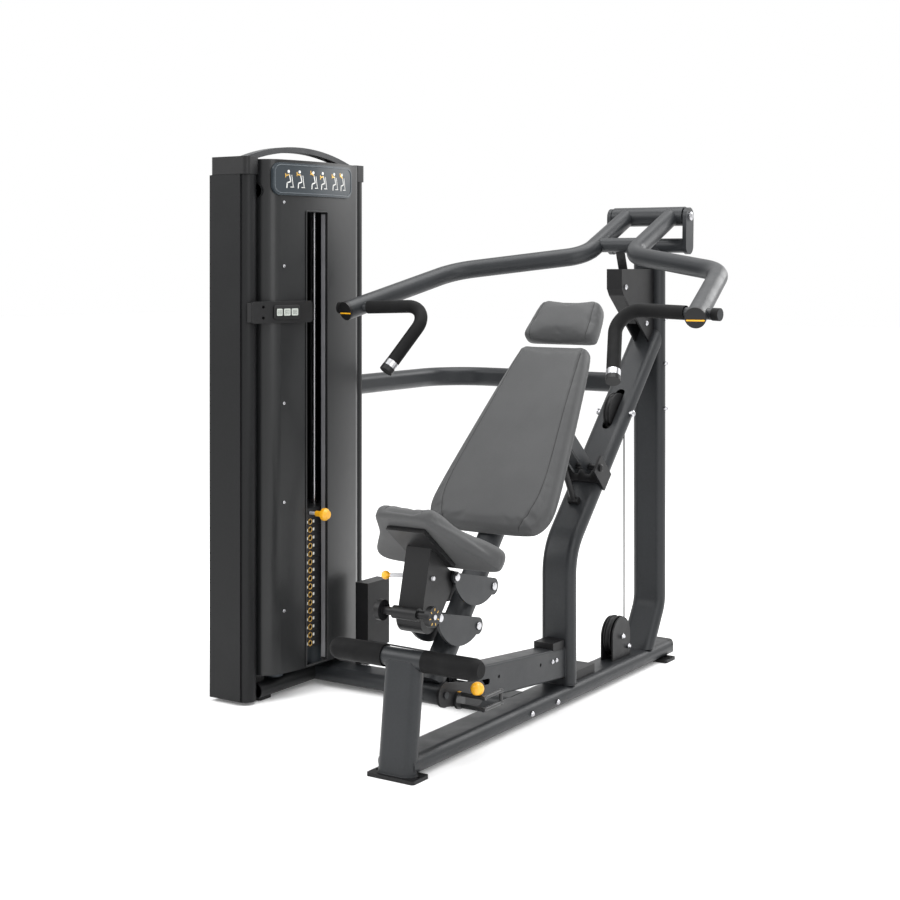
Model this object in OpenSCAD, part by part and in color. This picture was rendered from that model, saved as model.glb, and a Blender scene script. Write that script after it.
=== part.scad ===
// Selectorised incline chest press: weight tower, press arms, reclined seat on a sliding frame.
// Frame: origin at the middle of the footprint on the floor, +Z up, the user faces -Y.

/* [Overall] */
// Overall width along X
overall_w = 1580; // [1540:10:1640]
// Overall length along Y
overall_l = 1640; // [1620:10:1700]
// Height of the tower without its handle
tower_h = 1700; // [1680:10:1740]
// X of the middle plane of the press
press_x = 130; // [120:1:140]

/* [Frame tubes] */
// Broad side of the flat-oval frame tube
tube_w = 115; // [100:1:120]
// Narrow side of the flat-oval frame tube
tube_t = 50; // [40:1:60]
// Wall of every steel tube
wall = 3; // [2:0.5:4]
// Slope of the upper rail from vertical, degrees
rail_lean = 44; // [42:1:46]

/* [Press arms] */
// Height of the arm pivot
arm_pivot_z = 1530; // [1510:1:1550]
// Outside diameter of the arm tube
arm_d = 60; // [50:1:64]
// Outside diameter of the hand grip
grip_d = 41; // [36:1:44]

/* [Seat and back] */
// Slope of the back pad from vertical, degrees
back_lean = 41; // [38:1:44]
// Thickness of the pads
pad_t = 55; // [45:1:60]
// Width of the back pad at its widest
back_w = 420; // [380:1:440]
// Width of the seat pad at its widest
seat_w = 416; // [380:1:430]

/* [Weight stack] */
// Number of weight plates under the head plate
plate_count = 16; // [10:1:18]
// Height of one plate with its gap
plate_pitch = 26; // [24:1:27]

/* [Hidden] */
$fn = 64;

charcoal = [0.16, 0.17, 0.18];
black = [0.05, 0.05, 0.06];
vinyl = [0.30, 0.30, 0.31];
yellow = [0.95, 0.65, 0.12];
chrome = [0.80, 0.80, 0.82];

// Floor tubes lie between floor_z and floor_top.
floor_z = 10;
floor_top = floor_z + tube_t;
base_front_y = -overall_l / 2;
base_rear_y = overall_l / 2;
plate_w = 153;
plate_l = 76;
foot_hole_r = 5.5;
foot_hole_dx = 66;
front_plate_y = base_front_y + plate_l / 2;
rear_plate_y = base_rear_y - 75;
joint_y = -200;
end_cap_l = 30;

// Front post and foot rest.
post_y = base_front_y + 38;
post_lean = 7;
rest_z = 308;
rest_y = post_y + (rest_z - floor_z) * tan(post_lean);
rest_half = 240;
rest_mid_half = 65;
rest_d = 51;
sleeve_d = 60;

// Rear upright.
upright_y = 735;
upright_bend_z = 200;
upright_lean = 33;
upright_top = 1404;

// Back rail: straight up, then slanting back to the upright.
rail_y = 97;
rail_corner_z = 470;
rail_bend_r = 180;
rail_dir = [0, sin(rail_lean), cos(rail_lean)];
rail_out = [0, -cos(rail_lean), sin(rail_lean)];

// Pulleys on the middle plane share one axle height each and one Y.
pulley_y = 479;
pulley_r = 62;
rail_pulley_z = 872;
base_pulley_z = 132;
cable_d = 6;
pulley_bore_r = 8.05;
pulley_axle_r = 8;

// Seat base tube and the sled on it.
base_tube_w = 70;
base_tube_h = 95;
sled_y = -625;
sled_z = 190;
track_slope = 5.2;
track_rear_y = 72;
track_rear_z = 130;
track_front_y = -480;
track_u = [0, -cos(track_slope), sin(track_slope)];
function track_z(y) = track_rear_z + (track_rear_y - y) * tan(track_slope);
slot_pin_y = -462;
slot_pin_r = 8;
slot_travel = 82;

// Slanted back frame, placed from its pivot on the sled.
column_w = 76;
column_t = 60;
carriage_y = 245;
carriage_z = 718;
carriage_pin_r = 9;
carriage_eye_r = 10.6;

// Seat parallelogram in back frame coordinates: [along y, along z].
link_up = [18, 354];
link_down = [19, 226];
link_vec = [-185, -84];

// Arm pivot and yoke.
arm_pivot_y = 738;
pivot_half = 133;
pivot_d = 66;
yoke_plate_t = 14;
axle_r = 12;
axle_clear = 0.05;

// Tower.
tower_x0 = -overall_w / 2;
tower_x1 = tower_x0 + 150;
tower_y0 = -495;
tower_y1 = 124;
stack_x = -672;
stack_y = -221;
stack_w = 130;
stack_l = 300;
stack_z = 136;
rod_dy = 105;
rod_r = 12.5;
rod_bore_r = 13.2;
stem_r = 15;
stem_bore_r = 16;
pin_r = 5;
pin_bore_r = 5.2;
head_z = stack_z + plate_pitch * plate_count;
pin_z = head_z + 15.3;
slot_half = 50;
shroud_x = -578;
shroud_y = -182.5;
shroud_r = 900;
corner_r = 64;
corner_y = 181;

// A flat oval, w wide along X and t along Y.
module oval(w, t) {
    square([w - t, t], center = true);
    for (s = [-1, 1]) translate([s * (w - t) / 2, 0]) circle(d = t);
}

// The same oval with the tube's wall only.
module oval_ring(w, t) {
    difference() {
        oval(w, t);
        oval(w - 2 * wall, t - 2 * wall);
    }
}

// A round tube section.
module ring(d, bore) {
    difference() {
        circle(d = d);
        circle(d = bore);
    }
}

function unit(v) = v / norm(v);
function turn(p, i) = acos(unit(p[i] - p[i - 1]) * unit(p[i + 1] - p[i]));
function bend_r(r, i) = is_list(r) ? r[i] : r;
function tangent_l(p, i, r) = (i == 0 || i == len(p) - 1) ? 0 : bend_r(r, i) * tan(turn(p, i) / 2);

// Places children at o with local Z along z and local X along x.
module place(o, z, x) {
    y = cross(z, x);
    multmatrix([[x[0], y[0], z[0], o[0]], [x[1], y[1], z[1], o[1]], [x[2], y[2], z[2], o[2]],
        [0, 0, 0, 1]]) children();
}

// Sweeps a 2D section along points p. r is the bend radius, or a list with one for each point.
// Section X follows the bend axis.
// Straights stop short of their bends by gap, so that bends in different planes stay apart.
module tube_path(p, r, bend_axis, gap = 0) {
    for (i = [0 : len(p) - 2]) {
        u = unit(p[i + 1] - p[i]);
        a = p[i] + u * (tangent_l(p, i, r) + (i > 0 ? gap : 0));
        b = p[i + 1] - u * (tangent_l(p, i + 1, r) + (i < len(p) - 2 ? gap : 0));
        place(a, u, bend_axis == undef ? side_of(u) : bend_axis) linear_extrude(norm(b - a)) children();
    }
    if (len(p) > 2) for (i = [1 : len(p) - 2]) {
        u = unit(p[i] - p[i - 1]);
        n = unit(cross(u, p[i + 1] - p[i]));
        m = cross(n, u);
        place(p[i] - u * tangent_l(p, i, r) + m * bend_r(r, i), n, -m) rotate_extrude(angle = turn(p, i))
            translate([bend_r(r, i), 0]) rotate(90) children();
    }
}

function side_of(u) = abs(u[2]) > 0.99 ? [1, 0, 0] : unit(cross([0, 0, 1], u));

// A cylinder along X centred on the middle plane of the press unless x is given.
module x_rod(y, z, r, half, x = press_x) {
    translate([x - half, y, z]) rotate([0, 90, 0]) cylinder(r = r, h = 2 * half);
}

// A straight round rod between two points.
module rod(a, b, d) {
    v = b - a;
    l = norm(v);
    translate(a) rotate([0, acos(v[2] / l), atan2(v[1], v[0])]) cylinder(d = d, h = l);
}

// A plate of thickness t lying in the YZ plane, its outline given as [y, z] children.
module yz_plate(x, t) {
    translate([x, 0, 0]) rotate([90, 0, 90]) linear_extrude(t) children();
}

// Rounded bar in 2D from a to b.
module bar(a, b, r) {
    v = b - a;
    translate(a) circle(r);
    translate(b) circle(r);
    translate(a) rotate(atan2(v[1], v[0])) translate([0, -r]) square([norm(v), 2 * r]);
}

module rounded_rect(w, l, r) {
    square([w - 2 * r, l], center = true);
    square([w, l - 2 * r], center = true);
    for (x = [-1, 1], y = [-1, 1]) translate([x * (w / 2 - r), y * (l / 2 - r)]) circle(r);
}

module bolt_head(p, dir, r = 7, h = 6) {
    translate(p) rotate(dir) {
        cylinder(r = r, h = h * 0.55);
        translate([0, 0, h * 0.55]) cylinder(r1 = r, r2 = r * 0.55, h = h * 0.45);
    }
}

// ---- Base frame ----
module foot_plate(y) {
    translate([press_x, y, 0]) linear_extrude(floor_z) difference() {
        rounded_rect(plate_w, plate_l, 8);
        for (s = [-1, 1]) translate([s * foot_hole_dx, 0]) circle(foot_hole_r);
    }
}

module tower_foot(y) {
    translate([tower_x0 + 88, y, 0]) linear_extrude(floor_z) rounded_rect(96, 60, 8);
}

module foot_plates() color(black) {
    foot_plate(front_plate_y);
    foot_plate(rear_plate_y);
    tower_foot(tower_y0 + 110);
    tower_foot(tower_y1 - 60);
}

module post_shape() {
    translate([press_x, post_y, floor_z]) rotate([-post_lean, 0, 0])
        translate([0, 0, -30]) linear_extrude(350) children();
}

module front_post() color(charcoal) difference() {
    post_shape() oval_ring(tube_w, tube_t);
    translate([-500, base_front_y - 200, floor_z - 200]) cube([1200, 600, 200]);
    x_rod(rest_y, rest_z, rest_d / 2, 120);
    translate([-500, base_front_y - 200, rest_z]) cube([1200, 600, 200]);
}

module foot_rest_tube() color(charcoal) {
    x_rod(rest_y, rest_z, rest_d / 2, rest_mid_half);
    x_rod(rest_y, rest_z, 16, rest_half - 20);
}

module foot_rest_sleeves() color(black)
    for (s = [0, 1]) translate([press_x, rest_y, rest_z]) mirror([s, 0, 0]) rotate([0, 90, 0])
        rotate_extrude() difference() {
            union() {
                translate([0, rest_mid_half]) square([sleeve_d / 2, rest_half - rest_mid_half - 22]);
                translate([0, rest_half - 22]) intersection() {
                    circle(r = sleeve_d / 2);
                    square([sleeve_d / 2, 22]);
                }
            }
            square([16, rest_half - 20]);
        }

module base_tube(y0, y1) {
    translate([press_x, y0, floor_z + tube_t / 2]) rotate([-90, 0, 0])
        linear_extrude(y1 - y0) children();
}

module main_base_front() color(charcoal) difference() {
    base_tube(post_y - 5, joint_y) oval_ring(120, tube_t);
    post_shape() oval(tube_w, tube_t);
}

module main_base_rear() color(charcoal)
    base_tube(joint_y, base_rear_y - end_cap_l) oval_ring(120, tube_t);

module base_end_cap() color(black) intersection() {
    base_tube(base_rear_y - end_cap_l, base_rear_y) oval(120, tube_t);
    translate([press_x, base_rear_y - 100, 0]) linear_extrude(200) rounded_rect(120, 200, 28);
}

module cross_base_tube() color(charcoal) difference() {
    translate([tower_x0 + 136, -100, floor_z + tube_t / 2]) rotate([90, 0, 90])
        linear_extrude(press_x - 30 - tower_x0 - 136) oval_ring(120, tube_t);
    base_tube(-300, 100) oval(120, tube_t);
    tower_tube(floor_z) oval(120, 50);
}

upright_foot_y = upright_y - (upright_bend_z - floor_top) * tan(upright_lean);
upright_path = [[press_x, upright_y, upright_top], [press_x, upright_y, upright_bend_z],
    [press_x, upright_foot_y - 30 * tan(upright_lean), floor_top - 30]];
rail_path = [[press_x, rail_y, floor_top], [press_x, rail_y, rail_corner_z],
    [press_x, rail_y, rail_corner_z] + 1000 * rail_dir];

module below(z) translate([-900, -900, z - 400]) cube([1800, 1800, 400]);

module rear_upright() color(charcoal) difference() {
    tube_path(upright_path, 100, [1, 0, 0]) oval_ring(tube_w, tube_t);
    below(floor_top);
}

module back_rail() color(charcoal) difference() {
    tube_path(rail_path, rail_bend_r, [1, 0, 0]) oval_ring(tube_w, tube_t);
    translate([press_x - 100, upright_y - tube_t / 2, 700]) cube([200, 400, 800]);
    place([press_x, pulley_y, rail_pulley_z] - 60 * rail_out, rail_out, [1, 0, 0]) linear_extrude(120) {
        square([32, 138], center = true);
        for (s = [-1, 1]) translate([0, s * 69]) circle(16);
    }
    x_rod(pulley_y, rail_pulley_z, pulley_axle_r, 80);
}

module seat_base_tube() color(charcoal) difference() {
    place([press_x, track_rear_y + 20, track_z(track_rear_y + 20)], track_u, [1, 0, 0])
        linear_extrude((track_rear_y + 20 - track_front_y) / cos(track_slope)) difference() {
            rounded_rect(base_tube_w, base_tube_h, 8);
            rounded_rect(base_tube_w - 2 * wall, base_tube_h - 2 * wall, 5);
        }
    translate([press_x - 100, track_rear_y, 0]) cube([200, 400, 400]);
    x_rod(-80, 155, 5, 100);
    x_rod(-321, 173, 5, 100);
    yz_plate(press_x - 60, 120) bar([slot_pin_y, track_z(slot_pin_y)],
        [slot_pin_y + slot_travel, track_z(slot_pin_y + slot_travel)], slot_pin_r + 0.4);
}

brace_z = 952;
brace_path = [[press_x, upright_y, brace_z], [tower_x1 - 62, upright_y, brace_z],
    [tower_x1 - 62, tower_y1, brace_z]];

module brace_tube() color(charcoal) difference() {
    tube_path(brace_path, 170, [0, 0, 1]) oval_ring(68, 44);
    translate([press_x, upright_y, 600]) linear_extrude(700) oval(tube_w, tube_t);
}

yoke_z = 1430;

module arm_yoke() color(charcoal) {
    difference() {
        translate([press_x, upright_y, upright_top]) linear_extrude(yoke_z - upright_top)
            oval(tube_w, tube_t);
        x_rod(upright_y, yoke_z, 25, 200);
    }
    difference() {
        x_rod(upright_y, yoke_z, 25, pivot_half + 4);
        x_rod(upright_y, yoke_z, 21, pivot_half + 5);
    }
    for (s = [-1, 1]) yz_plate(press_x + s * (pivot_half + 4 + yoke_plate_t / 2) - yoke_plate_t / 2,
        yoke_plate_t) difference() {
            bar([upright_y, yoke_z], [arm_pivot_y, arm_pivot_z], 30);
            translate([arm_pivot_y, arm_pivot_z]) circle(axle_r);
        }
}

module arm_axle() color(chrome) {
    x_rod(arm_pivot_y, arm_pivot_z, axle_r, pivot_half + 4 + yoke_plate_t);
    for (s = [-1, 1]) bolt_head([press_x + s * (pivot_half + 4 + yoke_plate_t), arm_pivot_y,
        arm_pivot_z], [0, s * 90, 0], 15, 10);
}

housing_x = 25;
housing_pin = [495, 1290];
module housing_side() polygon([[470, 1350], [470, 1285], [485, 1262], [672, 1101.6], [709.8, 1140.8],
    [709.8, 1350]]);

module strap_housing() color(black) {
    for (s = [-1, 1]) yz_plate(press_x + s * housing_x - 3, 6) difference() {
        housing_side();
        translate(housing_pin) circle(6);
    }
    yz_plate(press_x - housing_x + 3, 2 * housing_x - 6)
        polygon([[470, 1350], [470, 1285], [485, 1262], [560, 1195.4], [564, 1200], [489, 1267],
            [475, 1287], [475, 1350]]);
}

// ---- Tower ----
module column_section() {
    translate([-75, -30]) square([120, 60]);
    translate([45, 0]) circle(30);
}

module column_ring() difference() {
    column_section();
    translate([-72, -27]) square([117, 54]);
    translate([45, 0]) circle(27);
}

// Places a section along Y between the two tower columns.
module tower_tube(z) translate([tower_x0 + 96, tower_y0 + 66, z + 25]) rotate([-90, 0, 0])
    linear_extrude(tower_y1 - tower_y0 - 126) children();

module tower_frame() color(charcoal) {
    for (y = [tower_y0 + 36, tower_y1 - 30])
        translate([tower_x0 + 75, y, floor_z]) linear_extrude(tower_h - 65) column_ring();
    for (z = [floor_z, tower_h - 130]) tower_tube(z) oval_ring(120, 50);
}

module side_panel() color(black)
    translate([tower_x0, tower_y0, 12]) linear_extrude(tower_h - 68) square([124, 5.8]);

module tower_cap(y0, l) {
    intersection() {
        translate([tower_x0, y0, tower_h - 55]) cube([151, l, 55]);
        translate([tower_x0 + 75.5, y0 + l / 2, tower_h - 60]) linear_extrude(60)
            rounded_rect(151, l, 18);
    }
}

module tower_caps() color(black) {
    tower_cap(tower_y0, 66);
    tower_cap(tower_y1 - 60, 60);
}

handle_apex = 45;
handle_x = tower_x0 + 100;
module carry_handle() color(charcoal) {
    c = (tower_y0 + tower_y1) / 2;
    half = 275;
    r = (half * half + handle_apex * handle_apex) / (2 * handle_apex);
    yz_plate(handle_x - 16, 32) difference() {
        intersection() {
            translate([c, tower_h + handle_apex - r]) circle(r, $fn = 256);
            translate([c - half, tower_h + 0.1]) square([2 * half, 60]);
        }
        intersection() {
            translate([c, tower_h + handle_apex - r]) circle(r - 18, $fn = 256);
            translate([c - half + 40, tower_h - 60]) square([2 * half - 80, 160]);
        }
    }
}

// Plan outline of the user-side shroud, bulging towards +X; grow < 0 gives the inner wall.
module shroud_plan(grow = 0) {
    x0 = shroud_x - shroud_r;
    x1 = tower_x1 - 42;
    corner_x = x0 + sqrt(pow(shroud_r - corner_r, 2) - pow(corner_y, 2));
    reach = corner_y * shroud_r / (shroud_r - corner_r);
    half = corner_y + corner_r + grow;
    intersection() {
        translate([x0, shroud_y]) circle(shroud_r + grow, $fn = 256);
        translate([x1, shroud_y - reach]) square([200, 2 * reach]);
    }
    for (s = [-1, 1]) translate([corner_x, shroud_y + s * corner_y]) circle(corner_r + grow);
    translate([x1, shroud_y - half]) square([corner_x - x1, 2 * half]);
}

module user_shroud() color(charcoal) {
    shroud_shell();
    translate([0, 0, 92]) linear_extrude(1440) for (s = [-1, 1]) intersection() {
        shroud_plan(-1);
        translate([shroud_x - 24, stack_y + s * (slot_half + 1.5) - 1.5]) square([30, 3]);
    }
}

module shroud_shell() difference() {
    translate([0, 0, 84]) linear_extrude(tower_h - 90) difference() {
        shroud_plan();
        shroud_plan(-4);
        translate([tower_x1 - 120, tower_y0]) square([100, 700]);
    }
    translate([tower_x1 - 10, stack_y - slot_half, 92]) cube([100, 2 * slot_half, 1440]);
    tower_tube(tower_h - 130) oval(120.6, 50.6);
}

module outer_shroud() color(charcoal)
    translate([tower_x0 + 2, tower_y0 + 66.2, 84]) cube([4, tower_y1 - tower_y0 - 126.4, tower_h - 90]);

// A sheet following the shroud, r0 to r1 outside it, cut to the [y, z] outline of the children.
module on_shroud(r0, r1) intersection() {
    translate([shroud_x - shroud_r, shroud_y, 1100]) linear_extrude(620) difference() {
        circle(shroud_r + r1, $fn = 256);
        circle(shroud_r + r0, $fn = 256);
    }
    yz_plate(shroud_x - 100, 200) children();
}

module placard() color([0.28, 0.32, 0.35]) on_shroud(0, 8)
    translate([-222, 1633]) rounded_rect(385, 102, 30);

module counter_bracket() color(black) {
    z = 1182;
    translate([tower_x1, tower_y0 + 4, z + 4]) cube([16, 40, 60]);
    on_shroud(0, 11) difference() {
        translate([-373, z + 34]) rounded_rect(234, 68, 12);
        for (dz = [-17, 17]) translate([-452, z + 34 + dz]) circle(5);
    }
}

module guide_rods() color(chrome) for (s = [-1, 1])
    translate([stack_x, stack_y + s * rod_dy, floor_top]) cylinder(r = rod_r, h = tower_h - 190);

module stack_bumpers() color([0.3, 0.33, 0.36]) for (s = [-1, 1])
    translate([stack_x, stack_y + s * rod_dy, floor_top]) difference() {
        cylinder(r = 30, h = stack_z - floor_top - 0.3);
        translate([0, 0, -1]) cylinder(r = rod_r, h = 100);
    }

module plate_outline() difference() {
    rounded_rect(stack_w, stack_l, 6);
    for (s = [-1, 1]) translate([0, s * rod_dy]) circle(rod_bore_r);
    circle(stem_bore_r);
}

module weight_plates() color([0.12, 0.12, 0.13]) for (i = [0 : plate_count - 1])
    translate([stack_x, stack_y, stack_z + i * plate_pitch]) difference() {
        linear_extrude(plate_pitch - 0.5) plate_outline();
        translate([0, 0, plate_pitch / 2]) rotate([0, 90, 0]) cylinder(r = pin_bore_r, h = 100);
    }

module stack_head() color([0.15, 0.15, 0.16]) {
    translate([stack_x, stack_y, head_z + 0.3]) difference() {
        linear_extrude(30) difference() {
            rounded_rect(stack_w, stack_l, 6);
            for (s = [-1, 1]) translate([0, s * rod_dy]) circle(rod_bore_r);
        }
        translate([-12, 0, 15]) rotate([0, 90, 0]) cylinder(r = pin_bore_r, h = 100);
    }
    translate([stack_x, stack_y, stack_z + 6]) difference() {
        cylinder(r = stem_r, h = head_z - stack_z - 5.5);
        for (i = [0 : plate_count - 1]) translate([-30, 0, i * plate_pitch + plate_pitch / 2 - 6])
            rotate([0, 90, 0]) cylinder(r = pin_bore_r, h = 60);
    }
    translate([stack_x, stack_y, head_z + 30]) cylinder(r = 12, h = 50);
}

module lift_cable() color(black)
    translate([stack_x, stack_y, head_z + 80]) cylinder(d = cable_d, h = tower_h - 130 - head_z - 80);

module selector_pin() color(yellow) translate([stack_x - 10, stack_y, pin_z]) rotate([0, 90, 0]) {
    cylinder(r = pin_r, h = 112);
    translate([0, 0, 100]) cylinder(r = 9, h = 34);
    translate([0, 0, 128]) cylinder(r = 19, h = 12);
    translate([0, 0, 140]) cylinder(r1 = 19, r2 = 12, h = 10);
}

// ---- Cable run outside the tower ----
module tower_pulley_box() color(black) {
    difference() {
        translate([-545, -60, 110]) cube([50, 120, 215]);
        translate([-539, -54, 150]) cube([38, 124, 150]);
    }
    translate([-545, -60, floor_top]) cube([50, 20, 51]);
}

module low_pulley_block() color(black) {
    difference() {
        translate([press_x - 34, -2, 150]) cube([68, 68, 53]);
        place([press_x, 100, track_z(100)], track_u, [1, 0, 0]) linear_extrude(200)
            rounded_rect(base_tube_w, base_tube_h, 8);
        translate([press_x - 24, 10, 150]) cube([48, 46, 46]);
    }
    translate([press_x - 35, rail_y + tube_t / 2, floor_top]) cube([70, 143, 28]);
}

module pulley_guards() color(black) for (s = [-1, 1])
    yz_plate(press_x + s * 20 - 2.5, 5) difference() {
        union() {
            translate([pulley_y, base_pulley_z]) circle(pulley_r + 1);
            translate([pulley_y - pulley_r - 1, floor_top]) square([2 * pulley_r + 2, base_pulley_z - floor_top]);
        }
        translate([pulley_y, base_pulley_z]) circle(pulley_axle_r);
    }

module pulley(z) translate([press_x, pulley_y, z]) rotate([0, 90, 0])
    rotate_extrude() difference() {
        translate([pulley_bore_r, -12]) square([pulley_r - pulley_bore_r + 4, 24]);
        translate([pulley_r + 4, 0]) circle(8);
    }

module rail_pulley() color(black) pulley(rail_pulley_z);
module base_pulley() color(black) pulley(base_pulley_z);

module drive_cables() color(black) {
    translate([press_x, pulley_y + pulley_r + cable_d / 2 - 3, base_pulley_z])
        cylinder(d = cable_d - 1, h = rail_pulley_z - base_pulley_z);
    rod([-495, -30, 130], [press_x - base_tube_w / 2, -22, 120], cable_d);
}

module frame_bolts() color(chrome) {
    for (y = [-178, -24]) bolt_head([press_x + 60, y, floor_z + 25], [0, 90, 0], 8, 9);
    for (z = [870, 1025, 1180]) bolt_head([press_x + tube_w / 2, upright_y, z], [0, 90, 0], 8, 10);
    for (y = [-10, 14]) bolt_head([press_x + base_tube_w / 2, y, 150], [0, 90, 0], 7, 6);
    for (s = [-1, 1]) {
        bolt_head([press_x + s * 22.5, pulley_y, base_pulley_z], [0, s * 90, 0], 9, 12);
        bolt_head([press_x + s * 62, pulley_y, rail_pulley_z], [0, s * 90, 0], 11, 9);
    }
    bolt_head([press_x + 22.5, pulley_y + 42, 92], [0, 90, 0], 8, 12);
    x_rod(pulley_y, base_pulley_z, pulley_axle_r, 22.5);
    x_rod(pulley_y, rail_pulley_z, pulley_axle_r, 62);
    x_rod(housing_pin[0], housing_pin[1], 6, housing_x + 3);
    for (q = [housing_pin, [650, 1165]])
        bolt_head([press_x + housing_x + 3, q[0], q[1]], [0, 90, 0], 9, 8);
}

// ---- Press arms ----
arm_in = [84, 425, 1396];
arm_out = [482, 235, 1342];
arm_end = [600, -205, 1219];
arm_path = [[84, arm_pivot_y, arm_pivot_z + 2], arm_in, arm_out, arm_end];
arm_bends = [0, 95, 150, 0];

module mirror_press(side) translate([press_x, 0, 0]) mirror([side < 0 ? 1 : 0, 0, 0]) children();

module arm(side) color(charcoal) mirror_press(side) difference() {
    tube_path(arm_path, arm_bends, gap = 0.02) circle(d = arm_d);
    translate([-300, arm_pivot_y, arm_pivot_z]) rotate([0, 90, 0]) cylinder(d = pivot_d, h = 600);
}

module arm_left() arm(-1);
module arm_right() arm(1);

module arm_pivot_tube() color(charcoal) difference() {
    x_rod(arm_pivot_y, arm_pivot_z, pivot_d / 2, pivot_half);
    x_rod(arm_pivot_y, arm_pivot_z, axle_r + axle_clear, pivot_half + 1);
}

spreader_y = 505;
spreader_z = 1430;
module arm_spreader() color(charcoal) difference() {
    x_rod(spreader_y, spreader_z, 24, 80);
    arm_core(1);
    arm_core(-1);
    x_rod(spreader_y, spreader_z, 8, 60);
    translate([press_x - 17, spreader_y, spreader_z]) rotate([90, 0, 90]) linear_extrude(34) {
        for (t = [-73, -36]) rotate(t) translate([0, -3]) square([40, 6]);
        polygon([[0, 0], 40 * [cos(73), -sin(73)], 40 * [cos(36), -sin(36)]]);
    }
}

module arm_core(side) mirror_press(side) tube_path(arm_path, arm_bends) circle(d = arm_d);

module arm_end_caps() color(black) for (s = [-1, 1]) mirror_press(s) {
    u = unit(arm_end - arm_out);
    place(arm_end, u, side_of(u)) cylinder(d = arm_d, h = 9);
}

handle_pts = [[658, -172, 1226], [318, -135, 1236], [388, -290, 1040]];
handle_bend = 62;
handle_u = unit(handle_pts[2] - handle_pts[1]);
grip_end = handle_pts[2] - handle_u * 34;

module handle_tubes() color(charcoal) for (s = [-1, 1]) mirror_press(s) difference() {
    tube_path([handle_pts[0], handle_pts[1], grip_end + handle_u * 30], handle_bend, gap = 0.02) circle(d = 32);
    tube_path([arm_out + unit(arm_end - arm_out) * 120, arm_end], 95) circle(d = arm_d);
}

module handle_grips() color(black) for (s = [-1, 1]) mirror_press(s) {
    inward = unit(handle_pts[1] - handle_pts[0]);
    tube_path([handle_pts[0] + inward * 109, handle_pts[1], grip_end], handle_bend, gap = 0.02)
        ring(grip_d, 32.2);
    tube_path([handle_pts[0], handle_pts[0] + inward * 22], handle_bend) ring(36, 32.2);
}

module handle_rings() color(chrome) for (s = [-1, 1]) mirror_press(s)
    place(grip_end, handle_u, side_of(handle_u)) linear_extrude(20) ring(grip_d + 1, 32);

module handle_end_caps() color(black) for (s = [-1, 1]) mirror_press(s)
    place(grip_end + handle_u * 20, handle_u, side_of(handle_u)) difference() {
        cylinder(d = grip_d + 2, h = 16);
        translate([0, 0, -1]) cylinder(d = 32, h = 11);
    }

// Strap from the spreader into the housing.
strap_u = unit([0, 95, -265]);
module arm_strap() color(black) {
    x_rod(spreader_y, spreader_z, 7.9, 16);
    place([press_x, spreader_y, spreader_z], strap_u, [1, 0, 0])
        linear_extrude(281) square([32, 4], center = true);
}

// ---- Seat sled, back frame and seat ----
sled_nose = [sled_y, sled_z];
sled_tail = [-455, 158];
pedal_hub = [-562, 162];
module seat_sled() color(black) {
    for (s = [-1, 1]) yz_plate(press_x + s * 46 - 4, 8) difference() {
        union() {
            bar(sled_nose, sled_tail, 32);
            translate(sled_nose) circle(34.5);
            translate(sled_tail) circle(34.5);
        }
        translate(sled_nose) circle(10.05);
        translate(pedal_hub) circle(6.05);
    }
    place([press_x, -440, track_z(-440) - base_tube_h / 2 - 5.5], track_u, [1, 0, 0])
        translate([-44, -5, 0]) cube([88, 10, 70]);
    x_rod(slot_pin_y, track_z(slot_pin_y), slot_pin_r, 46);
    for (s = [-1, 1]) bolt_head([press_x + s * 50, slot_pin_y, track_z(slot_pin_y)], [0, s * 90, 0], 10, 7);
}

pedal_x = press_x + 131;
module incline_pedal() color(black) {
    for (z = [146, 178]) {
        translate([press_x + 52, -556, z]) rotate([0, 90, 0]) cylinder(d = 12, h = 85);
        translate([pedal_x, -562, z]) rotate([-90, 0, 0]) cylinder(d = 12, h = 100);
    }
    translate([pedal_x, -468, 140]) cylinder(d = 11, h = 44);
    translate([press_x + 50.4, 0, 0]) rotate([90, 0, 90]) linear_extrude(8) translate(pedal_hub) circle(24);
    translate([press_x + 41, 0, 0]) rotate([90, 0, 90]) linear_extrude(12) translate(pedal_hub) circle(6);
    translate([press_x + 109, -556, 178]) cylinder(d = 10, h = 20);
    translate([press_x + 109, -556, 200]) sphere(r = 19);
}

module in_back() translate([press_x, sled_y, sled_z]) rotate([-back_lean, 0, 0]) children();

strut_head = [40, 880];
strut_foot = [190, 618];
function to_back(q) = [(q[0] - sled_y) * cos(back_lean) - (q[1] - sled_z) * sin(back_lean),
    (q[0] - sled_y) * sin(back_lean) + (q[1] - sled_z) * cos(back_lean)];
strut_lug = to_back(strut_head);
carriage_local = to_back([carriage_y, carriage_z]);

module back_column() color(charcoal) in_back() {
    difference() {
        union() {
            translate([0, -16, 20]) linear_extrude(1010) oval(column_w, column_t);
            x_rod(0, 0, 30, 40, 0);
            for (q = [link_up, link_down]) x_rod(q[0], q[1], 15, 44.5, 0);
        }
        x_rod(0, 0, 10, 60, 0);
    }
    x_rod(0, 0, 10, 54, 0);
    for (q = [link_up, link_down]) x_rod(q[0], q[1], 7, 56, 0);
    difference() {
        for (s = [-1, 1]) yz_plate(s * 22 - 4, 8) {
            bar([8, carriage_local[1]], carriage_local, 22);
            bar([8, strut_lug[1]], strut_lug, 13);
        }
        x_rod(carriage_local[0], carriage_local[1], carriage_eye_r, 60, 0);
    }
    x_rod(strut_lug[0], strut_lug[1], 6, 28, 0);
}

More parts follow.
